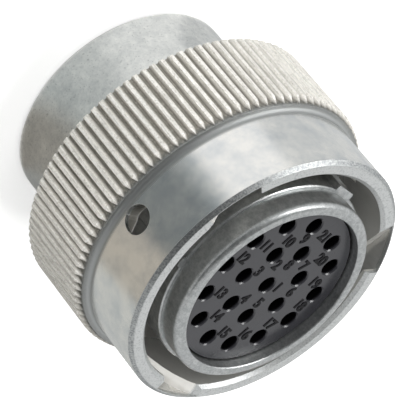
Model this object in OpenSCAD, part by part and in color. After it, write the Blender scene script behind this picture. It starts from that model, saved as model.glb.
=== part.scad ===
// Bayonet circular connector plug: metal shell, quarter-turn coupling ring, 21 socket contacts.
// Lengths are in millimetres. The origin is the centre of the rear rim, and +Z is the way the
// plug is pushed when it mates, so the part stands on the rear end of its barrel.

/* [Overall] */
// Length from the rear rim to the tip of the nose
total_len = 47.6; // [40:0.1:60]
// Diameter of the rear barrel
barrel_d = 40.1; // [30:0.1:50]
// Wall of the barrel
barrel_wall = 2.55; // [1.5:0.05:4]
// Bevel on the barrel's rear edge
barrel_bevel = 0.7; // [0:0.1:1.5]

/* [Coupling ring] */
// Height of the ring's rear face above the rear rim
ring_z = 16.2; // [12:0.1:20]
// Length of the ring
ring_len = 29.2; // [20:0.1:36]
// Room between the barrel and the ring's bore, which holds the wave spring
spring_room = 2.3; // [1.5:0.05:4]
// Height of the knurl above the smooth band
knurl_rise = 1.95; // [1:0.05:3]
// Thickness of the flange at the ring's rear
rear_flange_t = 2.5; // [1.5:0.1:4]
// Running gap between the rear flange and the barrel
ring_gap = 0.15; // [0.05:0.01:0.4]
// Bevel on the outer front edge
front_bevel = 0.65; // [0:0.05:1.5]
// Bevel on the front edge of the bore
mouth_bevel = 0.6; // [0:0.05:1.5]
// Angle of the first entry slot about the axis
ring_turn = 41.2; // [0:0.1:120]

/* [Knurl] */
// Number of ribs round the ring
ribs = 100; // [40:2:160]
// Height of a rib
rib_h = 0.85; // [0.3:0.05:1.5]
// Share of the pitch taken by a rib's flat top
rib_top = 0.36; // [0.1:0.02:0.6]
// Share of the pitch taken by the flat floor between two ribs
rib_floor = 0.22; // [0:0.02:0.5]
// Length of the knurl from the rear face
knurl_len = 16; // [8:0.1:24]
// Length of the point on the front end of a rib
rib_point = 1.2; // [0.3:0.05:2]
// Bevel on the rear end of a rib
rib_rear_bevel = 0.4; // [0:0.05:1]
// Radius of the hollow between the knurl and the smooth band
neck_r = 0.9; // [0.3:0.05:1.5]

/* [Bayonet tracks] */
// Number of tracks, and of lugs on the mating receptacle
tracks = 3; // [2:1:4]
// Depth of the tracks in the ring's bore
track_depth = 2.15; // [1:0.05:3]
// Wall that the tracks leave under the smooth band
track_wall = 0.8; // [0.75:0.05:2]
// Width of an entry slot, as an angle
slot_angle = 25.8; // [16:0.1:40]
// Turn from the middle of a slot to the locked position
lock_angle = 90; // [60:1:100]
// Diameter of the receptacle's lug that the track takes
lug_d = 4.2; // [3:0.1:6]
// Play of the lug in the track
lug_play = 0.3; // [0.1:0.05:0.8]
// Depth of the locked lug below the ring's front face
lock_depth = 9.4; // [6:0.1:14]
// Depth of the entry ramp where the slot ends
ramp_depth = 5.4; // [4:0.1:8]
// Thickness of the lip beside the slot
lip_t = 1.1; // [0.6:0.1:3]
// Extra depth of the seat that the lug snaps into
seat_depth = 0.3; // [0:0.05:1]
// Diameter of an inspection hole
hole_d = 4.9; // [3:0.1:7]

/* [Nose] */
// Step inside, from the rear bore down to the nose's bore
seat_step = 1.3; // [0.6:0.05:2]
// Wall of the nose in front of its shoulder
nose_wall = 2.1; // [1.2:0.05:3]
// Height of the shoulder's step
shoulder_step = 0.6; // [0.2:0.05:1]
// Height of the shoulder above the rear rim
shoulder_z = 43.5; // [38:0.1:46]
// Radius of the round on the tip
tip_round = 1.0; // [0.2:0.1:2]
// Height of the keys above the nose
key_h = 1.45; // [0.8:0.05:2]
// Width of the master key
master_key_w = 4.8; // [3:0.1:8]
// Width of a minor key
minor_key_w = 1.9; // [1:0.1:4]
// Place of the first minor key, as an angle from the master key
minor_key_1 = 104.6; // [60:0.1:180]
// Place of the second minor key, as an angle from the master key
minor_key_2 = 196.4; // [181:0.1:300]
// Length of the keys
key_len = 14; // [6:0.1:18]

/* [Shell inside] */
// Height of the flange's rear face above the rear rim
flange_z = 23; // [20:0.1:28]
// Thickness of the flange
flange_t = 3; // [2:0.1:5]
// Gap between the flange and the ring's bore
flange_gap = 0.15; // [0.05:0.01:0.5]
// Height of the seat that stops the insert
seat_z = 20; // [12:0.1:24]

/* [Ring retention] */
// Thickness of the retaining ring
clip_t = 1.2; // [0.8:0.1:2]
// Height of the retaining ring above the barrel
clip_rise = 1.65; // [1:0.05:2]
// Depth of its groove in the barrel
clip_groove = 0.7; // [0.4:0.05:1.5]
// Gap between its two ends
clip_opening = 6; // [2:0.5:15]
// Play between neighbours along the axis
stack_gap = 0.03; // [0.01:0.01:0.2]
// Thickness of the thrust washer
washer_t = 0.8; // [0.5:0.1:2]
// Thickness of the wave spring's strip
strip_t = 0.3; // [0.2:0.05:0.6]
// Turns of the wave spring
spring_turns = 3; // [2:1:5]
// Waves in one turn, a whole number and a half so that crests meet
spring_waves = 3.5; // [2.5:1:6.5]

/* [Seal] */
// Thickness of the peripheral seal
seal_t = 1.5; // [1:0.1:3]

/* [Insert] */
// Height of the insert's face above the rear rim
face_z = 45.7; // [40:0.1:48]
// Gap between the insert and the nose's bore
insert_gap = 0.3; // [0.05:0.05:0.6]
// Turn of the insert against the master key
insert_turn = -5.2; // [-20:0.1:20]
// Gap between the rear pieces and the rear bore
rear_gap = 0.1; // [0.05:0.01:0.3]
// Thickness of the retention plate
plate_t = 5; // [3:0.1:8]
// Height of the insert's rear face above the rear rim
insert_rear_z = 17; // [10:0.1:18]
// Height of the grommet's rear face above the rear rim
grommet_z = 3; // [1:0.1:8]

/* [Contacts] */
// Contacts on the outer row
outer_count = 13; // [8:1:16]
// Distance from the insert's edge to the centres of the outer row
outer_edge = 3.3; // [2.2:0.05:5]
// Angle between neighbours on the outer row
outer_step = 27.2; // [20:0.1:36]
// Contacts on the inner row
inner_count = 6; // [4:1:8]
// Radius of the inner row
inner_r = 6.7; // [5:0.05:8]
// Angle between neighbours on the inner row
inner_step = 52.2; // [40:0.1:60]
// Angle of the row's first contact from the key line
inner_first = 49; // [0:0.1:60]
// Radius of the one contact that stands on the key line
key_line_r = 7.44; // [6:0.01:9]
// Diameter of a cavity at the insert's face
cavity_d = 3.1; // [2:0.05:4]
// Bevel on a cavity's edge
cavity_bevel = 0.2; // [0:0.05:0.4]
// Depth of a socket's mouth below the insert's face
socket_depth = 3.5; // [1:0.1:6]
// Diameter of a socket
socket_d = 2.9; // [2:0.05:3.5]
// Diameter of the pin that a socket takes, with its running gap
socket_bore_d = 2.4; // [1.5:0.05:3]
// Depth of a socket's bore
socket_bore_len = 9; // [5:0.5:14]
// Diameter of the collar that holds a contact
collar_d = 3.7; // [3:0.05:4.5]
// Height of a contact's rear end above the rear rim
contact_rear_z = 4.5; // [3:0.1:10]
// Bore of the crimp barrel
crimp_bore_d = 2.0; // [1:0.05:2.4]
// Depth of the crimp barrel
crimp_len = 6.5; // [4:0.5:10]

/* [Hidden] */
$fn = 96;

barrel_r = barrel_d / 2;
rear_bore_r = barrel_r - barrel_wall;
rear_fit_r = rear_bore_r - rear_gap;

ring_front_z = ring_z + ring_len;
knurl_z = ring_z + knurl_len;
ring_bore_r = barrel_r + spring_room;
track_r = ring_bore_r + track_depth;
band_r = track_r + track_wall;
knurl_r = band_r + knurl_rise;
knurl_root_r = knurl_r - rib_h;
rib_pitch = 360 / ribs;
rib_sink = 0.3;

slot_half = slot_angle / 2;
lug_room = lug_d + lug_play;
lock_z = ring_front_z - lock_depth;
lip_lean = 0.8;
ramp_lead = 0.05;
ramp_steps = 4;
run_steps = 12;

nose_bore_r = rear_bore_r - seat_step;
nose_r = nose_bore_r + nose_wall;
nose_body_r = nose_r + shoulder_step;
key_r = nose_r + key_h;
flange_r = ring_bore_r - flange_gap;
key_line = 90;

clip_top_z = ring_z - stack_gap;
clip_r = barrel_r + clip_rise;
clip_groove_r = barrel_r - clip_groove;
washer_z = ring_z + rear_flange_t + stack_gap;
spring_z = washer_z + washer_t + stack_gap;
spring_h = flange_z - spring_z - stack_gap;
spring_in_r = barrel_r + 0.3;
spring_out_r = flange_r - 0.2;

plate_z = insert_rear_z - plate_t;
insert_r = nose_bore_r - insert_gap;
outer_r = insert_r - outer_edge;
insert_line = key_line + insert_turn;

// Centres of all cavities: 1 in the middle, then the inner row, then the outer row.
contact_xy = concat(
    [[0, 0]],
    [for (i = [0 : inner_count - 1]) polar(inner_r, insert_line + inner_first + i * inner_step)],
    [polar(key_line_r, insert_line)],
    [for (i = [0 : outer_count - 1])
        polar(outer_r, insert_line + (360 - (outer_count - 1) * outer_step) / 2 + i * outer_step)]
);
contact_count = len(contact_xy);

function polar(r, a) = [r * cos(a), r * sin(a)];
function two_digits(n) = n < 10 ? str("0", n) : str(n);
CONTACTS = [for (n = [1 : contact_count]) str("socket_contact_", two_digits(n))];

// A flat ring between two radii.
module tube(out_r, in_r, z, h) {
    rotate_extrude() translate([in_r, z]) square([out_r - in_r, h]);
}

// A shape once for each cavity.
module at_cavities() {
    for (p = contact_xy) translate(p) children();
}

// ---- Coupling ring ----

// The ribs in plan, each with a top of some half angle at some radius and two flanks.
function rib_corners(top, top_r, foot) = [for (i = [0 : ribs - 1],
    c = [[-foot, knurl_root_r - rib_sink], [-top, top_r], [top, top_r], [foot, knurl_root_r - rib_sink]])
    polar(c[1], i * rib_pitch + c[0])];

// The ribs, bevelled at the rear by a turned outline, and drawn to points at the front.
module knurl_ribs() {
    top = rib_pitch * rib_top / 2;
    foot = rib_pitch * (1 - rib_floor) / 2;
    sunk_foot = foot + (foot - top) * rib_sink / rib_h;
    body_len = knurl_len - rib_point;
    core_r = ring_bore_r + 1;
    rear = rib_corners(top, knurl_r, sunk_foot);
    front = rib_corners(top * 0.1, knurl_root_r + rib_h / 3, foot * 0.5);
    count = 4 * ribs;
    points = concat([for (p = rear) [p[0], p[1], ring_z + body_len]],
        [for (p = front) [p[0], p[1], knurl_z]], [[0, 0, ring_z + body_len], [0, 0, knurl_z]]);
    intersection() {
        translate([0, 0, ring_z]) linear_extrude(body_len) polygon(rear);
        rotate_extrude() polygon([
            [core_r, ring_z], [knurl_r - rib_rear_bevel, ring_z],
            [knurl_r + 1, ring_z + rib_rear_bevel + 1], [knurl_r + 1, knurl_z], [core_r, knurl_z]]);
    }
    difference() {
        polyhedron(points, [for (i = [0 : count - 1], k = [0 : 3])
            let (j = (i + 1) % count)
            k == 0 ? [2 * count, i, j] : k == 1 ? [j, i, count + i]
                : k == 2 ? [j, count + i, count + j] : [2 * count + 1, count + j, count + i]]);
        cylinder(r = core_r, h = ring_front_z);
    }
}

// The sleeve behind the ribs, with the hollow neck, the smooth band and the bevelled front.
module ring_sleeve() {
    neck_z = knurl_z + 0.2;
    neck = [for (a = [270 : -15 : 180])
        [band_r + neck_r + neck_r * cos(a), neck_z + neck_r + neck_r * sin(a)]];
    rotate_extrude() polygon(concat(
        [[barrel_r + ring_gap, ring_z], [knurl_root_r, ring_z], [knurl_root_r, neck_z]], neck,
        [[band_r, ring_front_z - front_bevel], [band_r - front_bevel, ring_front_z],
         [ring_bore_r + mouth_bevel, ring_front_z], [ring_bore_r, ring_front_z - mouth_bevel],
         [ring_bore_r, ring_z + rear_flange_t], [barrel_r + ring_gap, ring_z + rear_flange_t]]));
}

// Height of the track's floor and roof at an angle from the middle of its entry slot.
function floor_z(a) = lookup(a, [[-lock_angle, lock_z - lug_room / 2],
    [-slot_half, ring_front_z - ramp_depth], [slot_half, ring_front_z + ramp_lead]]);
function roof_z(a) = lookup(a, [[-lock_angle, lock_z + lug_room / 2 - seat_depth],
    [-slot_half, ring_front_z - lip_t], [-slot_half + lip_lean, ring_front_z + 1]]);

// One track, swept round the bore: an entry slot with a ramp for its floor, then a run under the
// lip. Its section is a box between the floor and the roof; the ring's wall is cut to track_r.
module track() {
    run_end = lock_angle + asin(lug_room / 2 / track_r);
    run = (run_end - slot_half) / run_steps;
    ramp = (slot_angle - lip_lean) / ramp_steps;
    angles = concat([for (i = [0 : run_steps]) -run_end + i * run],
        [for (i = [0 : ramp_steps]) -slot_half + lip_lean + i * ramp]);
    last = len(angles) - 1;
    points = [for (a = angles, c = [[ring_bore_r - 1, floor_z(a)], [track_r + 1, floor_z(a)],
        [track_r + 1, roof_z(a)], [ring_bore_r - 1, roof_z(a)]])
        [c[0] * cos(a), c[0] * sin(a), c[1]]];
    sides = [for (i = [0 : last - 1], k = [0 : 3])
        [4 * i + k, 4 * i + (k + 1) % 4, 4 * i + 4 + (k + 1) % 4, 4 * i + 4 + k]];
    intersection() {
        translate([0, 0, ring_z + 1]) cylinder(r = track_r, h = ring_len + 1);
        polyhedron(points, concat([[3, 2, 1, 0]], sides,
            [[4 * last, 4 * last + 1, 4 * last + 2, 4 * last + 3]]));
    }
}

module coupling_ring() {
    color("gainsboro") rotate([0, 0, ring_turn]) difference() {
        union() {
            ring_sleeve();
            knurl_ribs();
        }
        for (i = [0 : tracks - 1]) rotate([0, 0, i * 360 / tracks]) {
            track();
            rotate([0, 0, -lock_angle]) translate([track_r - 6, 0, lock_z]) rotate([0, 90, 0])
                cylinder(d = hole_d, h = 10);
        }
    }
}

// ---- Shell ----

// A key on the nose, with its outer corners cut off.
module key(angle, width) {
    corner = 0.35;
    rotate([0, 0, angle]) translate([0, 0, shoulder_z - key_len]) linear_extrude(key_len)
        polygon([[nose_body_r - 1, -width / 2], [key_r - corner, -width / 2],
            [key_r, -width / 2 + corner], [key_r, width / 2 - corner],
            [key_r - corner, width / 2], [nose_body_r - 1, width / 2]]);
}

module plug_shell() {
    tip = [for (a = [0 : 15 : 90])
        [nose_r - tip_round + tip_round * cos(a), total_len - tip_round + tip_round * sin(a)]];
    color("silver") {
        rotate_extrude() polygon(concat(
            [[rear_bore_r, 0], [barrel_r - barrel_bevel, 0], [barrel_r, barrel_bevel],
             [barrel_r, clip_top_z - clip_t], [clip_groove_r, clip_top_z - clip_t],
             [clip_groove_r, clip_top_z], [barrel_r, clip_top_z],
             [barrel_r, flange_z], [flange_r, flange_z], [flange_r, flange_z + flange_t],
             [nose_body_r, flange_z + flange_t], [nose_body_r, shoulder_z - 0.2],
             [nose_body_r - 0.2, shoulder_z], [nose_r, shoulder_z]],
            tip,
            [[nose_bore_r + 0.15, total_len], [nose_bore_r, total_len - 0.15],
             [nose_bore_r, seat_z], [rear_bore_r, seat_z]]));
        key(key_line, master_key_w);
        key(key_line + minor_key_1, minor_key_w);
        key(key_line + minor_key_2, minor_key_w);
    }
}

// ---- Ring retention ----

// An open ring that snaps into the barrel's groove and stops the coupling ring from behind.
module retaining_ring() {
    color("dimgray") difference() {
        tube(clip_r, clip_groove_r + 0.05, clip_top_z - clip_t + 0.02, clip_t - 0.04);
        translate([0, -clip_opening / 2, 0]) cube([clip_r + 1, clip_opening, ring_z]);
    }
}

module thrust_washer() {
    color("gray") tube(spring_out_r, spring_in_r, washer_z, washer_t);
}

// A flat strip wound edge to edge in waves; each crest stands under the next turn's trough.
module wave_spring() {
    step = 5;
    last = spring_turns * 360 / step;
    pitch = (spring_h - strip_t) / (spring_turns + 1) - stack_gap / 2;
    wave = (pitch - strip_t - stack_gap) / 2;
    function strip_z(a) = spring_z + pitch / 2 + a / 360 * pitch + wave * cos(spring_waves * a);
    points = [for (i = [0 : last], c = [[spring_in_r, 0], [spring_out_r, 0],
        [spring_out_r, strip_t], [spring_in_r, strip_t]])
        let (a = i * step) [c[0] * cos(a), c[0] * sin(a), strip_z(a) + c[1]]];
    sides = [for (i = [0 : last - 1], k = [0 : 3])
        [4 * i + k, 4 * i + (k + 1) % 4, 4 * i + 4 + (k + 1) % 4, 4 * i + 4 + k]];
    color("darkgray") polyhedron(points, concat([[3, 2, 1, 0]], sides,
        [[4 * last, 4 * last + 1, 4 * last + 2, 4 * last + 3]]));
}

// The rubber ring on the flange's front that the receptacle's shell is pressed into.
module peripheral_seal() {
    color("slategray") tube(flange_r - 0.1, nose_body_r + 0.05, flange_z + flange_t, seal_t);
}

// ---- Insert and contacts ----

module front_insert() {
    color([0.3, 0.3, 0.32]) difference() {
        union() {
            translate([0, 0, insert_rear_z]) cylinder(r = insert_r, h = face_z - insert_rear_z);
            translate([0, 0, insert_rear_z]) cylinder(r = rear_fit_r, h = seat_z - insert_rear_z);
        }
        at_cavities() {
            translate([0, 0, insert_rear_z - 1]) cylinder(d = cavity_d, h = face_z - insert_rear_z + 2);
            translate([0, 0, face_z - cavity_bevel])
                cylinder(d1 = cavity_d, d2 = cavity_d + 4 * cavity_bevel, h = 2 * cavity_bevel);
        }
    }
}

// The plate behind the insert: each collar sits in a pocket between the two.
module retention_plate() {
    shelf = 1.2;
    color([0.36, 0.36, 0.38]) difference() {
        translate([0, 0, plate_z]) cylinder(r = rear_fit_r, h = plate_t);
        at_cavities() {
            translate([0, 0, plate_z - 1]) cylinder(d = cavity_d, h = plate_t + 2);
            translate([0, 0, plate_z + shelf]) cylinder(d = collar_d + 0.2, h = plate_t);
        }
    }
}

// The rubber grommet, with two tight webs in each passage.
module rear_grommet() {
    grommet_h = plate_z - grommet_z;
    web = 1.5;
    color("dimgray") difference() {
        translate([0, 0, grommet_z]) cylinder(r = rear_fit_r, h = grommet_h);
        at_cavities() translate([0, 0, grommet_z]) {
            translate([0, 0, -1]) cylinder(d = socket_d + 0.1, h = grommet_h + 2);
            for (i = [0 : 2]) translate([0, 0, i * (grommet_h - web) / 3 + web])
                cylinder(d = cavity_d + 0.5, h = (grommet_h - web) / 3 - web);
        }
    }
}

// A machined socket: slotted mouth, collar, and a bored crimp barrel at the rear.
module socket_contact(p) {
    front_z = face_z - socket_depth;
    collar_z = plate_z + 1.4;
    collar_len = 3.4;
    slit = 0.3;
    color("goldenrod") translate(p) difference() {
        rotate_extrude($fn = 48) polygon([
            [0, contact_rear_z + crimp_len], [crimp_bore_d / 2, contact_rear_z + crimp_len],
            [crimp_bore_d / 2, contact_rear_z], [socket_d / 2, contact_rear_z],
            [socket_d / 2, collar_z], [collar_d / 2, collar_z],
            [collar_d / 2, collar_z + collar_len], [socket_d / 2, collar_z + collar_len],
            [socket_d / 2, front_z - 0.25], [socket_d / 2 - 0.1, front_z],
            [socket_bore_d / 2, front_z],
            [socket_bore_d / 2, front_z - socket_bore_len], [0, front_z - socket_bore_len]]);
        translate([-slit / 2, 0, front_z - socket_bore_len * 0.8])
            cube([slit, socket_d, socket_bore_len]);
    }
}

plug_shell();
coupling_ring();
thrust_washer();
wave_spring();
retaining_ring();
peripheral_seal();
front_insert();
retention_plate();
rear_grommet();
for (i = [0 : contact_count - 1])
    socket_contact(contact_xy[i]);
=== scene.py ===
import bpy, bmesh, math
from mathutils import Matrix, Vector


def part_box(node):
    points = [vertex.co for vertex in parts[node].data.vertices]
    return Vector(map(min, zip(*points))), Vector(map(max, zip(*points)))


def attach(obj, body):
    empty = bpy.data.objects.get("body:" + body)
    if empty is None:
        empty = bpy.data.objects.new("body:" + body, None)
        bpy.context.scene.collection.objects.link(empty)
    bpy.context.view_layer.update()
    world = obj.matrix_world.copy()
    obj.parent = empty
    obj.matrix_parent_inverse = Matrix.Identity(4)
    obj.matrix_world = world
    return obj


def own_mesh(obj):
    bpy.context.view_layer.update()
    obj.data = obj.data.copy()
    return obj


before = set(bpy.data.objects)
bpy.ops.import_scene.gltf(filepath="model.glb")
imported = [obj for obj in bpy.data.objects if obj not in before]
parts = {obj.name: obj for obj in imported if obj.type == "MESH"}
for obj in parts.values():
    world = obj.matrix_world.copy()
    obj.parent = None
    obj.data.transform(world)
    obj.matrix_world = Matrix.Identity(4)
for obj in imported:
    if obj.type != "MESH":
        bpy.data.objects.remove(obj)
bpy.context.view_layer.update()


# ---- Plug shell ----
# The shell is one machined aluminium part: rear barrel, flange, and the nose with its three keys.
# It is tin-zinc plated, which gives a pale satin grey, a little mottled, with tiny pits.

def colour(hex_value):
    """An sRGB hex colour as the linear RGBA that a socket takes."""
    channels = [int(hex_value[i:i + 2], 16) / 255 for i in (1, 3, 5)]
    return [c / 12.92 if c <= 0.04045 else ((c + 0.055) / 1.055) ** 2.4 for c in channels] + [1]


def add(material, kind, inputs, **settings):
    """Adds a node with its settings, values and links, and returns its outputs."""
    node = material.node_tree.nodes.new("ShaderNode" + kind)
    for name, value in settings.items():
        setattr(node, name, value)
    for socket, value in inputs.items():
        if isinstance(value, bpy.types.NodeSocket):
            material.node_tree.links.new(value, node.inputs[socket])
        else:
            node.inputs[socket].default_value = value
    return node.outputs


def start_material(name, **values):
    """A material with its surface shader's fixed values set."""
    material = bpy.data.materials.new(name)
    material.use_nodes = True
    surface = material.node_tree.nodes["Principled BSDF"]
    for socket, value in values.items():
        surface.inputs[socket.replace("_", " ")].default_value = value
    return material, surface.inputs


def link(material, output, socket):
    material.node_tree.links.new(output, socket)


def dress(piece, material):
    """The one material on a piece."""
    piece.data.materials.clear()
    piece.data.materials.append(material)


shell_tip_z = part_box("plug_shell")[1].z
MM = 0.001
PIT = 0.3 * MM                  # a pit in the plating is about 0.1 mm, drawn coarser to show
MOTTLE = 5 * MM                 # patches of the plating
STAIN = 0.9 * MM                # finer staining on the nose, where it is handled most
EDGE = 0.12 * MM                # a tumbled edge
RIM_Z = 0.7 * MM                # the rear rim, painted darker
RIM_FADE = 0.3 * MM
NOSE_Z = 34 * MM                # where the nose starts
WORN_TIP = 2 * MM               # the end of the nose, which knocks against things
WORN_FULL = 0.8 * MM
SHELL_BORE_R = 18.1 * MM        # between the shell's bore and its outside
DULL_NOSE_Z = 42 * MM           # in front of this the outside is a little more oxidised

plating, surface = start_material("tin_zinc_plated_machined_aluminium")
place = add(plating, "TexCoord", {})["Object"]
patches = add(plating, "TexNoise", {"Vector": place, "Scale": 1 / MOTTLE, "Detail": 5, "Roughness": 0.62})[0]
pits = add(plating, "TexNoise", {"Vector": place, "Scale": 1 / PIT, "Detail": 3, "Roughness": 0.7})[0]
pit_mask = add(plating, "MapRange", {"Value": pits, "From Min": 0.28, "From Max": 0.4})[0]
stains = add(plating, "TexNoise", {"Vector": place, "Scale": 1 / STAIN, "Detail": 6, "Roughness": 0.75})[0]
mottle = add(plating, "Math", {0: patches, 1: stains}, operation="ADD")[0]
mottle = add(plating, "MapRange", {"Value": mottle, "From Min": 0.65, "From Max": 1.35})[0]
tone = add(plating, "MixRGB", {"Fac": mottle, "Color1": colour("#cacccb"), "Color2": colour("#fafaf6")})[0]
x, y, z = add(plating, "SeparateXYZ", {"Vector": place})

# The rear rim is painted darker, and the nose, inside the ring, is painted darker as shade, with stains on it
# and small dents round its tip.
rim = add(plating, "MapRange", {"Value": z, "From Min": RIM_Z, "From Max": RIM_Z - RIM_FADE})[0]
tone = add(plating, "MixRGB", {"Fac": rim, "Color1": tone, "Color2": colour("#77797a")})[0]
nose = add(plating, "MapRange", {"Value": z, "From Min": NOSE_Z, "From Max": NOSE_Z + MM})[0]
stain_mask = add(plating, "MapRange", {"Value": stains, "From Min": 0.36, "From Max": 0.6})[0]
nose_shade_and_stains = add(plating, "MixRGB", {
    "Fac": stain_mask, "Color1": colour("#9fa2a2"), "Color2": colour("#c0c2c1")})[0]
tone = add(plating, "MixRGB", {"Fac": nose, "Color1": tone, "Color2": nose_shade_and_stains})[0]
tip = add(plating, "MapRange", {
    "Value": z, "From Min": shell_tip_z - WORN_TIP, "From Max": shell_tip_z - WORN_FULL})[0]
dents = add(plating, "MapRange", {"Value": pits, "From Min": 0.58, "From Max": 0.42, "To Max": 0.3})[0]
dents = add(plating, "Math", {0: dents, 1: tip}, operation="MULTIPLY")[0]
tone = add(plating, "MixRGB", {"Fac": dents, "Color1": tone, "Color2": colour("#7b7e7e")})[0]
pitted = add(plating, "MixRGB", {"Fac": pit_mask, "Color1": colour("#999b9a"), "Color2": tone})[0]
link(plating, pitted, surface["Base Color"])

flat = add(plating, "CombineXYZ", {"X": x, "Y": y})[0]
radius = add(plating, "VectorMath", {0: flat}, operation="LENGTH")["Value"]
inside = add(plating, "MapRange", {
    "Value": radius, "From Min": SHELL_BORE_R, "From Max": SHELL_BORE_R - 0.5 * MM})[0]
behind = add(plating, "MapRange", {"Value": z, "From Min": DULL_NOSE_Z, "From Max": DULL_NOSE_Z - MM})[0]
clean = add(plating, "Math", {0: inside, 1: behind}, operation="MAXIMUM")[0]
link(plating, add(plating, "MapRange", {"Value": clean, "To Min": 0.85, "To Max": 0.88})[0],
     surface["Metallic"])
link(plating, add(plating, "MapRange", {"Value": patches, "To Min": 0.28, "To Max": 0.44})[0],
     surface["Roughness"])
edge = add(plating, "Bevel", {"Radius": EDGE}, samples=4)[0]
grain = add(plating, "Bump", {"Height": pits, "Strength": 0.16, "Distance": 0.05 * MM, "Normal": edge})[0]
link(plating, add(plating, "Bump", {
    "Height": patches, "Strength": 0.1, "Distance": 0.2 * MM, "Normal": grain})[0], surface["Normal"])
dress(parts["plug_shell"], plating)


# ---- Coupling ring ----
# The ring is turned from aluminium tube and knurled at the rear; the bayonet tracks are milled in its
# bore. The tool leaves fine turning lines on the smooth band; the knurl is rougher and creamier.

ring_low, ring_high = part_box("coupling_ring")
KNURL_LEN = 16 * MM
RIB_H = 0.85 * MM
RIB_WORN = 0.25 * MM            # the top of a rib, which fingers keep bright; below it the rib is painted darker as shade
RIB_POINT = 1.0 * MM            # the pointed front end of a rib
SLEEVE_R = 23 * MM              # between the ring's bore and the foot of its ribs
NECK_LEN = 1.6 * MM             # the hollow between the knurl and the band
FRONT_DEPTH = 0.75 * MM         # the front face with its bevels
TRACK_R = 24.5 * MM             # the bottom of a track in the bore
BEVEL_R = 24.6 * MM             # where the bevel round the front face starts
TRACK_MOUTH_R = 22.4 * MM       # the bore, which a track is cut into
SEAT_FROM = 9.5 * MM            # depth of the tracks' far ends, past which the tracks are painted darker as shade
TURNING = 0.45 * MM             # the feed of the tool is about 0.1 mm, drawn coarser to show

turned, surface = start_material("turned_and_plated_aluminium_tube")
place = add(turned, "TexCoord", {})["Object"]
x, y, z = add(turned, "SeparateXYZ", {"Vector": place})
flat = add(turned, "CombineXYZ", {"X": x, "Y": y})[0]
radius = add(turned, "VectorMath", {0: flat}, operation="LENGTH")["Value"]
patches = add(turned, "TexNoise", {"Vector": place, "Scale": 1 / (4 * MM), "Detail": 5, "Roughness": 0.6})[0]
pits = add(turned, "TexNoise", {"Vector": place, "Scale": 1 / PIT, "Detail": 3, "Roughness": 0.7})[0]
feed = add(turned, "Math", {0: z, 1: 1 / TURNING}, operation="MULTIPLY")[0]
lines = add(turned, "TexNoise", {"W": feed, "Scale": 1.0, "Detail": 3}, noise_dimensions="1D")[0]

# The smooth band, with the hollow neck behind it, which stays duller and is painted darker as shade in the
# hollow.
knurl_top = ring_low.z + KNURL_LEN
cloud = add(turned, "MapRange", {"Value": patches, "From Min": 0.3, "From Max": 0.62})[0]
band_tone = add(turned, "MixRGB", {
    "Fac": cloud, "Color1": colour("#d6d9da"), "Color2": colour("#f1f0ec")})[0]
neck = add(turned, "MapRange", {
    "Value": z, "From Min": knurl_top + NECK_LEN, "From Max": knurl_top + MM})[0]
band_tone = add(turned, "MixRGB", {"Fac": neck, "Color1": band_tone, "Color2": colour("#adafae")})[0]

# The knurl: bright worn tops, floors painted dark as shade, a notch between the points painted darker still
# as shade, and streaks along it.
behind = add(turned, "MapRange", {
    "Value": z, "From Min": knurl_top + 0.4 * MM, "From Max": knurl_top - 0.3 * MM})[0]
outside = add(turned, "MapRange", {"Value": radius, "From Min": SLEEVE_R, "From Max": SLEEVE_R + 0.5 * MM})[0]
knurled = add(turned, "Math", {0: behind, 1: outside}, operation="MULTIPLY")[0]
knurl_r = ring_high.x
height = add(turned, "MapRange", {
    "Value": radius, "From Min": knurl_r - RIB_H, "From Max": knurl_r - RIB_WORN})[0]
rib_tone = add(turned, "MixRGB", {
    "Fac": height, "Color1": colour("#827f77"), "Color2": colour("#f6f3ed")})[0]
notch_shade = add(turned, "MapRange", {
    "Value": z, "From Min": knurl_top - RIB_POINT, "From Max": knurl_top - 0.2 * MM})[0]
low = add(turned, "MapRange", {"Value": height, "From Min": 0.45, "From Max": 0.1})[0]
notch_shade = add(turned, "Math", {0: notch_shade, 1: low}, operation="MULTIPLY")[0]
rib_tone = add(turned, "MixRGB", {"Fac": notch_shade, "Color1": rib_tone, "Color2": colour("#5d5f5d")})[0]
along = add(turned, "VectorMath", {0: place, 1: (1, 1, 0.08)}, operation="MULTIPLY")[0]
streaks = add(turned, "TexNoise", {"Vector": along, "Scale": 1 / PIT, "Detail": 3, "Roughness": 0.6})[0]
streaks = add(turned, "MapRange", {
    "Value": streaks, "From Min": 0.34, "From Max": 0.5, "To Min": 0.35, "To Max": 0.0})[0]
rib_tone = add(turned, "MixRGB", {"Fac": streaks, "Color1": rib_tone, "Color2": colour("#8a877e")})[0]
rib_spots = add(turned, "MapRange", {"Value": pits, "From Min": 0.34, "From Max": 0.5, "To Min": 0.3})[0]
rib_worn = add(turned, "MixRGB", {"Fac": rib_spots, "Color1": colour("#b5b1a7"), "Color2": rib_tone})[0]

# The front face is scuffed, and its outer bevel more so; both are also painted darker than the band, as
# shade.
front = add(turned, "MapRange", {
    "Value": z, "From Min": ring_high.z - FRONT_DEPTH, "From Max": ring_high.z - 0.6 * MM})[0]
scuffs = add(turned, "MapRange", {"Value": pits, "From Min": 0.3, "From Max": 0.5})[0]
front_tone = add(turned, "MixRGB", {
    "Fac": scuffs, "Color1": colour("#989b9b"), "Color2": colour("#c3c5c4")})[0]
bevel = add(turned, "MapRange", {"Value": radius, "From Min": BEVEL_R, "From Max": BEVEL_R + 0.15 * MM})[0]
dents = add(turned, "MapRange", {"Value": pits, "From Min": 0.42, "From Max": 0.58})[0]
bevel_tone = add(turned, "MixRGB", {
    "Fac": dents, "Color1": colour("#8b8e8f"), "Color2": colour("#bcbebd")})[0]
front_tone = add(turned, "MixRGB", {"Fac": bevel, "Color1": front_tone, "Color2": bevel_tone})[0]
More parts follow.
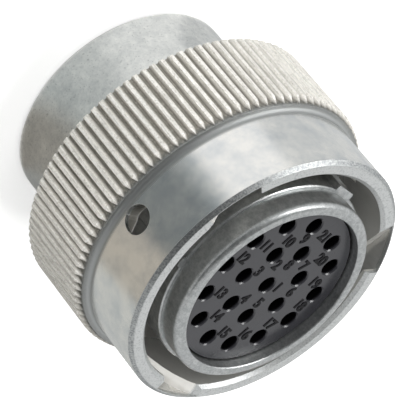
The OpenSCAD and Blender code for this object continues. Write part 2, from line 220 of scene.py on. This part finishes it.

# The bore and its tracks, creamier, and painted darker as shade deep in the tracks.
bore = add(turned, "MapRange", {
    "Value": radius, "From Min": TRACK_R + 0.1 * MM, "From Max": TRACK_R - 0.1 * MM})[0]
bore_tone = add(turned, "MixRGB", {
    "Fac": patches, "Color1": colour("#dddbd5"), "Color2": colour("#f2f0eb")})[0]
track_end_shade = add(turned, "MapRange", {
    "Value": z, "From Min": ring_high.z - SEAT_FROM, "From Max": ring_high.z - SEAT_FROM - MM})[0]
beyond = add(turned, "MapRange", {
    "Value": radius, "From Min": TRACK_MOUTH_R, "From Max": TRACK_MOUTH_R + 0.2 * MM})[0]
track_end_shade = add(turned, "Math", {0: track_end_shade, 1: beyond}, operation="MULTIPLY")[0]
bore_tone = add(turned, "MixRGB", {"Fac": track_end_shade, "Color1": bore_tone, "Color2": colour("#8f8d86")})[0]

tone = add(turned, "MixRGB", {"Fac": bore, "Color1": band_tone, "Color2": bore_tone})[0]
tone = add(turned, "MixRGB", {"Fac": front, "Color1": tone, "Color2": front_tone})[0]
link(turned, add(turned, "MixRGB", {"Fac": knurled, "Color1": tone, "Color2": rib_worn})[0],
     surface["Base Color"])
rough = add(turned, "MapRange", {
    "Value": patches, "From Min": 0.3, "From Max": 0.7, "To Min": 0.17, "To Max": 0.27})[0]
rough = add(turned, "MapRange", {"Value": neck, "To Min": rough, "To Max": 0.55})[0]
front_rough = add(turned, "MapRange", {"Value": bevel, "To Min": 0.36, "To Max": 0.5})[0]
rough = add(turned, "MapRange", {"Value": front, "To Min": rough, "To Max": front_rough})[0]
link(turned, add(turned, "MapRange", {"Value": knurled, "To Min": rough, "To Max": 0.48})[0],
     surface["Roughness"])
shine = add(turned, "MapRange", {"Value": knurled, "To Min": 1.0, "To Max": 0.3})[0]
link(turned, add(turned, "MapRange", {"Value": bore, "To Min": shine, "To Max": 0.4})[0],
     surface["Metallic"])
edge = add(turned, "Bevel", {"Radius": EDGE / 2}, samples=4)[0]
depth = add(turned, "MapRange", {"Value": knurled, "To Min": 0.03, "To Max": 0.35})[0]
grain = add(turned, "Bump", {"Height": pits, "Distance": 0.08 * MM, "Normal": edge, "Strength": depth})[0]
link(turned, add(turned, "Bump", {
    "Height": lines, "Strength": 0.06, "Distance": 0.05 * MM, "Normal": grain})[0], surface["Normal"])
dress(parts["coupling_ring"], turned)


# ---- Ring retention: thrust washer, wave spring and retaining ring ----
# Hardened steel washer and stainless spring strip between the ring's rear flange and the shell's
# flange, and a snap ring of spring steel in a groove of the barrel.

steel, surface = start_material("rolled_spring_steel", Metallic=1.0)
place = add(steel, "TexCoord", {})["Object"]
rolled = add(steel, "TexNoise", {"Vector": place, "Scale": 1 / (0.8 * MM), "Detail": 4, "Roughness": 0.6})[0]
link(steel, add(steel, "MixRGB", {
    "Fac": rolled, "Color1": colour("#8f9396"), "Color2": colour("#b9bbbc")})[0], surface["Base Color"])
link(steel, add(steel, "MapRange", {"Value": rolled, "To Min": 0.22, "To Max": 0.42})[0],
     surface["Roughness"])
link(steel, add(steel, "Bump", {"Height": rolled, "Strength": 0.1, "Distance": 0.05 * MM})[0],
     surface["Normal"])
for name in ("thrust_washer", "wave_spring", "retaining_ring"):
    dress(parts[name], steel)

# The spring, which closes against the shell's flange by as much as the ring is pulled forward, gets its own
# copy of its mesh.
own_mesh(parts["wave_spring"])


# ---- Peripheral seal and rear grommet ----
# Moulded silicone rubber. The seal lies against the flange, where the receptacle's rim presses on it;
# the grommet closes round the wires at the rear.

rubber, surface = start_material("moulded_silicone_rubber", IOR=1.41)
place = add(rubber, "TexCoord", {})["Object"]
bloom = add(rubber, "TexNoise", {"Vector": place, "Scale": 1 / (1.5 * MM), "Detail": 5, "Roughness": 0.65})[0]
link(rubber, add(rubber, "MixRGB", {
    "Fac": bloom, "Color1": colour("#2f3133"), "Color2": colour("#45474a")})[0], surface["Base Color"])
link(rubber, add(rubber, "MapRange", {"Value": bloom, "To Min": 0.5, "To Max": 0.7})[0], surface["Roughness"])
link(rubber, add(rubber, "Bump", {"Height": bloom, "Strength": 0.15, "Distance": 0.1 * MM})[0],
     surface["Normal"])
for name in ("peripheral_seal", "rear_grommet"):
    dress(parts[name], rubber)


# ---- Insert and retention plate ----
# The insert is a glass-filled thermoplastic moulding, nearly black, that carries the contacts. The
# cavity numbers stand up from its face, moulded with it.

FACE_GRAIN = 0.25 * MM          # the mould's spark finish

plastic, surface = start_material("glass_filled_moulded_thermoplastic", IOR=1.5)
place = add(plastic, "TexCoord", {})["Object"]
cloud = add(plastic, "TexNoise", {"Vector": place, "Scale": 1 / (3 * MM), "Detail": 4, "Roughness": 0.6})[0]
spark = add(plastic, "TexNoise", {"Vector": place, "Scale": 1 / FACE_GRAIN, "Detail": 2, "Roughness": 0.6})[0]
face_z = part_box("front_insert")[1].z
z = add(plastic, "SeparateXYZ", {"Vector": place})[2]
# Below the face, the cavity walls are painted near black: painted shade inside the holes.
cavity_shade = add(plastic, "MapRange", {"Value": z, "From Min": face_z - 0.2 * MM, "From Max": face_z - 0.6 * MM})[0]
tone = add(plastic, "MixRGB", {"Fac": cloud, "Color1": colour("#2b2b2e"), "Color2": colour("#36363a")})[0]
link(plastic, add(plastic, "MixRGB", {"Fac": cavity_shade, "Color1": tone, "Color2": colour("#060607")})[0],
     surface["Base Color"])
link(plastic, add(plastic, "MapRange", {"Value": cloud, "To Min": 0.17, "To Max": 0.3})[0],
     surface["Roughness"])
link(plastic, add(plastic, "Bump", {"Height": spark, "Strength": 0.12, "Distance": 0.04 * MM})[0],
     surface["Normal"])
for name in ("front_insert", "retention_plate"):
    dress(parts[name], plastic)

# Each number's place beside its cavity, in the insert's own directions, in mm.
NUMBER_PLACES = {
    1: (2.6, 0.8), 2: (2.5, -1.0), 3: (1.85, 2.0), 4: (1.6, 1.95), 5: (-0.6, 2.9), 6: (-0.15, 3.1),
    7: (-2.1, 1.9), 8: (-0.2, -2.8), 9: (0.8, -2.6), 10: (3.2, -1.55), 11: (3.1, 0.45), 12: (1.6, 2.55),
    13: (2.7, 1.5), 14: (2.5, 2.1), 15: (1.9, 2.2), 16: (0.75, 2.8), 17: (-0.9, 2.85), 18: (-1.1, 2.9),
    19: (-2.75, 1.35), 20: (-3.6, -0.2), 21: (-3.05, -0.15)}
NUMBER_H = 1.95 * MM
NUMBER_PROUD = 0.12 * MM
NUMBER_WEIGHT = 0.03 * MM       # how much each stroke is thickened
FIGURE_SHARE = 0.7              # a figure's height as a share of the font's size
INSERT_TURN = math.radians(-5.2)

numbers = bmesh.new()
for number, (aside, above) in NUMBER_PLACES.items():
    low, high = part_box("socket_contact_%02d" % number)
    words = bpy.data.curves.new("cavity_number", "FONT")
    words.body = str(number)
    words.size = NUMBER_H / FIGURE_SHARE
    words.align_x = "CENTER"
    words.align_y = "CENTER"
    words.space_character = 0.95
    words.offset = NUMBER_WEIGHT
    words.bevel_depth = NUMBER_PROUD
    words.bevel_resolution = 2
    holder = bpy.data.objects.new("cavity_number", words)
    mesh = bpy.data.meshes.new_from_object(holder)
    turn = Matrix.Rotation(INSERT_TURN, 4, "Z")
    centre = (low + high) / 2
    centre.z = face_z
    mesh.transform(Matrix.Translation(centre) @ turn @ Matrix.Translation((aside * MM, above * MM, 0)))
    numbers.from_mesh(mesh)
    bpy.data.objects.remove(holder)
    bpy.data.curves.remove(words)
    bpy.data.meshes.remove(mesh)
number_mesh = bpy.data.meshes.new("cavity_numbers")
numbers.to_mesh(number_mesh)
numbers.free()
cavity_numbers = bpy.data.objects.new("cavity_numbers", number_mesh)
bpy.context.scene.collection.objects.link(cavity_numbers)

gloss, surface = start_material("polished_mould_thermoplastic", IOR=1.45, Specular_IOR_Level=0.12)
place = add(gloss, "TexCoord", {})["Object"]
flow = add(gloss, "TexNoise", {"Vector": place, "Scale": 1 / (0.6 * MM), "Detail": 3})[0]
link(gloss, add(gloss, "MixRGB", {"Fac": flow, "Color1": colour("#08080a"), "Color2": colour("#141416")})[0],
     surface["Base Color"])
link(gloss, add(gloss, "MapRange", {"Value": flow, "To Min": 0.15, "To Max": 0.3})[0], surface["Roughness"])
dress(cavity_numbers, gloss)
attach(cavity_numbers, "plug")


# ---- Socket contacts ----
# Turned copper alloy, gold plated, pushed in from the rear until the collar snaps behind the plate.

gold, surface = start_material("gold_plated_copper_alloy", Metallic=1.0)
place = add(gold, "TexCoord", {})["Object"]
tint = add(gold, "TexNoise", {"Vector": place, "Scale": 1 / (0.7 * MM), "Detail": 3})[0]
link(gold, add(gold, "MixRGB", {"Fac": tint, "Color1": colour("#b98f45"), "Color2": colour("#d9b56a")})[0],
     surface["Base Color"])
link(gold, add(gold, "MapRange", {"Value": tint, "To Min": 0.16, "To Max": 0.32})[0], surface["Roughness"])
for name in parts:
    if name.startswith("socket_contact"):
        dress(parts[name], gold)


# ---- Studio ----
# The plug stands on a pale table under three soft boxes. Grey cards round its foot and flags above it glow
# with set shades and only reflections show them; they give the metal its dark and warm bands as painted
# reflections.

FLOOR_HALF = 3.0
FLOOR_Z = -0.1 * MM


def seen_directly(holder):
    """1 for what the camera, a reflection or clear matter shows, 0 for the light that it throws."""
    rays = add(holder, "LightPath", {})
    seen = add(holder, "Math", {0: rays["Is Camera Ray"], 1: rays["Is Glossy Ray"]}, operation="MAXIMUM")[0]
    return add(holder, "Math", {0: seen, 1: rays["Is Transmission Ray"]}, operation="MAXIMUM")[0]


def flat_piece(name, corners, material):
    """A flat piece of the studio through the given corners."""
    mesh = bpy.data.meshes.new(name)
    mesh.from_pydata(corners, [], [list(range(len(corners)))])
    mesh.materials.append(material)
    card = bpy.data.objects.new(name, mesh)
    bpy.context.scene.collection.objects.link(card)
    return card


def rectangle(half_width, half_height):
    return [(-half_width, -half_height), (half_width, -half_height),
            (half_width, half_height), (-half_width, half_height)]


paper, surface = start_material("white_paper_sweep", Roughness=0.9)
surface["Base Color"].default_value = colour("#f0f0ee")
matt_paper = paper.node_tree.nodes["Principled BSDF"].outputs[0]
glow = add(paper, "Emission", {"Color": colour("#ffffff"), "Strength": 0.56})[0]
lit = add(paper, "AddShader", {0: matt_paper, 1: glow})[0]
mixed = add(paper, "MixShader", {0: seen_directly(paper), 1: matt_paper, 2: lit})[0]
link(paper, mixed, paper.node_tree.nodes["Material Output"].inputs["Surface"])
flat_piece("floor", [(u, v, FLOOR_Z) for u, v in rectangle(FLOOR_HALF, FLOOR_HALF)], paper)


def only_for(kept, card):
    """Hides a card from every kind of ray but one."""
    for ray in ("camera", "diffuse", "glossy", "shadow", "transmission", "volume_scatter"):
        if ray != kept:
            setattr(card, "visible_" + ray, False)


def glowing(name, shade, strength=1):
    """A black surface that gives its own light, so that a reflection shows just this shade."""
    material, surface = start_material(name, Roughness=1.0, Specular_IOR_Level=0, Emission_Strength=strength)
    surface["Base Color"].default_value = colour("#000000")
    surface["Emission Color"].default_value = colour(shade)
    return material, surface


# Cards in rings round the plug's foot; each row is an azimuth in degrees and the card's shade there.
# The inner ring lies so close that only the barrel shows it; the ring of the plug shows the outer one.
FOOT_SHADES = ((0, "#b9bbbc"), (30, "#c9cbcc"), (106, "#c9cbcc"), (111, "#eeefef"), (150, "#e4e6e6"),
               (165, "#c2c6c6"), (195, "#aab0b0"), (211, "#8b877f"), (246, "#85817a"),
               (251, "#8f918f"), (320, "#a2a4a3"), (335, "#9fa1a1"), (352, "#9fa1a1"))
FLOOR_SHADES = ((0, "#b9bbbc"), (30, "#d6d8d9"), (106, "#d6d8d9"), (111, "#ffffff"), (150, "#ffffff"),
                (160, "#a8aeb0"), (170, "#838889"), (205, "#7a7f80"), (211, "#b8b2a9"), (246, "#b4afa6"),
                (251, "#c8cac8"), (320, "#bfc1c0"), (335, "#9fa1a1"), (352, "#9fa1a1"))
FOOT_R = 20.5 * MM              # just outside the barrel
FOOT_CARDS_R = 44 * MM
FLOOR_CARDS_R = 2.5
CARD_Z = 0.4 * MM
CARD_SIDES = 72


def card_ring(name, inner, outer, card_shades):
    """A flat ring of cards, with the shades run together between their azimuths."""
    # The cards glow with their shade and only reflections show them: painted reflections.
    cards, surface = glowing("glowing_reflection_" + name, "#ffffff")
    x, y, _ = add(cards, "SeparateXYZ", {"Vector": add(cards, "TexCoord", {})["Object"]})
    azimuth = add(cards, "Math", {0: y, 1: x}, operation="ARCTAN2")[0]
    turns = add(cards, "Math", {0: azimuth, 1: 1 / math.tau}, operation="MULTIPLY")[0]
    share = add(cards, "Math", {0: turns, 1: 1.0, 2: 0.0}, operation="WRAP")[0]
    shades = add(cards, "ValToRGB", {"Fac": share})
    ramp = shades[0].node.color_ramp
    for degrees, shade in card_shades:
        stop = ramp.elements.new(degrees / 360) if degrees else ramp.elements[0]
        stop.position = degrees / 360
        stop.color = colour(shade)
    ramp.elements[-1].color = colour(card_shades[0][1])
    link(cards, shades[0], surface["Emission Color"])
    ring = [math.tau * i / CARD_SIDES for i in range(CARD_SIDES + 1)]
    corners = [(inner * math.cos(a), inner * math.sin(a), CARD_Z) for a in ring]
    corners += [(outer * math.cos(a), outer * math.sin(a), CARD_Z) for a in reversed(ring)]
    only_for("glossy", flat_piece(name, corners, cards))


card_ring("foot_cards", FOOT_R, FOOT_CARDS_R, FOOT_SHADES)
card_ring("floor_cards", FOOT_CARDS_R, FLOOR_CARDS_R, FLOOR_SHADES)


def direction(azimuth, elevation):
    """The way out from the plug, by azimuth and elevation in degrees."""
    a, e = math.radians(azimuth), math.radians(elevation)
    return Vector((math.cos(e) * math.cos(a), math.cos(e) * math.sin(a), math.sin(e)))


def facing_card(name, way, centre, half_width, half_height, material):
    """A card whose middle is at a point, square to the way out from the plug."""
    turn = Matrix.Translation(centre) @ way.to_track_quat("Z", "Y").to_matrix().to_4x4()
    corners = [turn @ Vector((u, v, 0)) for u, v in rectangle(half_width, half_height)]
    return flat_piece(name, corners, material)


# Dark flags over the camera's side and overhead, which the bevels and the neck show, and a bright strip:
# glowing cards that only reflections show, for painted reflections and painted highlights.
black_cloth, _ = glowing("glowing_dark_flag", "#26292b")
way = direction(180, 45)
only_for("glossy", facing_card("flag", way, way * 0.8, 0.75, 0.45, black_cloth))
overhead = [(-0.4, -0.14, 0.8), (0.4, -0.14, 0.8), (0.4, 0.9, 0.8), (-0.4, 0.9, 0.8)]
only_for("glossy", flat_piece("overhead_flag", overhead, black_cloth))
frosted, _ = glowing("glowing_highlight_strip", "#ffffff", 12)
way = direction(86, 41)
only_for("glossy", facing_card("strip_light", way, way * 0.9, 0.3, 0.09, frosted))

# A black card on the far left, out of view, takes soft light off that side.
cloth, surface = start_material("black_cloth", Roughness=1.0)
surface["Base Color"].default_value = colour("#101010")
way = direction(235, 0)
only_for("diffuse", facing_card("black_card", way, way * 0.45 + Vector((0, 0, 0.5)), 0.8, 0.5, cloth))

world = bpy.data.worlds.new("studio")
bpy.context.scene.world = world
world.use_nodes = True
sky = world.node_tree.nodes["Background"]
sky.inputs["Color"].default_value = colour("#f4f5f6")
link(world, add(world, "MapRange", {"Value": seen_directly(world), "To Min": 0.44, "To Max": 1.0})[0],
     sky.inputs["Strength"])

AIM = Vector((0, 0, 24 * MM))   # the plug's middle


def soft_box(name, azimuth, elevation, distance, side, watts):
    """A square lamp that faces the plug's middle and that reflections don't show."""
    lamp = bpy.data.lights.new(name, "AREA")
    lamp.energy = watts
    lamp.shape = "RECTANGLE"
    lamp.size = lamp.size_y = side
    box = bpy.data.objects.new(name, lamp)
    bpy.context.scene.collection.objects.link(box)
    way = direction(azimuth, elevation)
    box.location = AIM + way * distance
    box.rotation_euler = way.to_track_quat("Z", "Y").to_euler()
    box.visible_glossy = False


soft_box("fill_box", 148, 22, 0.9, 0.8, 6.2)
soft_box("side_box", 60, 41, 0.9, 0.6, 0.7)
soft_box("top_box", 0, 88, 1.0, 0.3, 4.5)

# The camera looks down on the nose through a long lens, rolled so that the plug lies aslant.
CAMERA_PLACE = (-0.40195, 0.07235, 0.29732)
CAMERA_RIGHT = Vector((0.480, 0.703, 0.526))
CAMERA_UP = Vector((-0.311, 0.696, -0.647))
CAMERA_FORWARD = Vector((0.821, -0.147, -0.552))

camera = bpy.data.cameras.new("camera")
camera.lens = 260.24
camera.sensor_width = 36
viewer = bpy.data.objects.new("camera", camera)
bpy.context.scene.collection.objects.link(viewer)
turn = Matrix((CAMERA_RIGHT, CAMERA_UP, -CAMERA_FORWARD)).transposed().to_4x4()
viewer.matrix_world = Matrix.Translation(CAMERA_PLACE) @ turn
bpy.context.scene.camera = viewer
bpy.context.scene.view_settings.view_transform = "Standard"
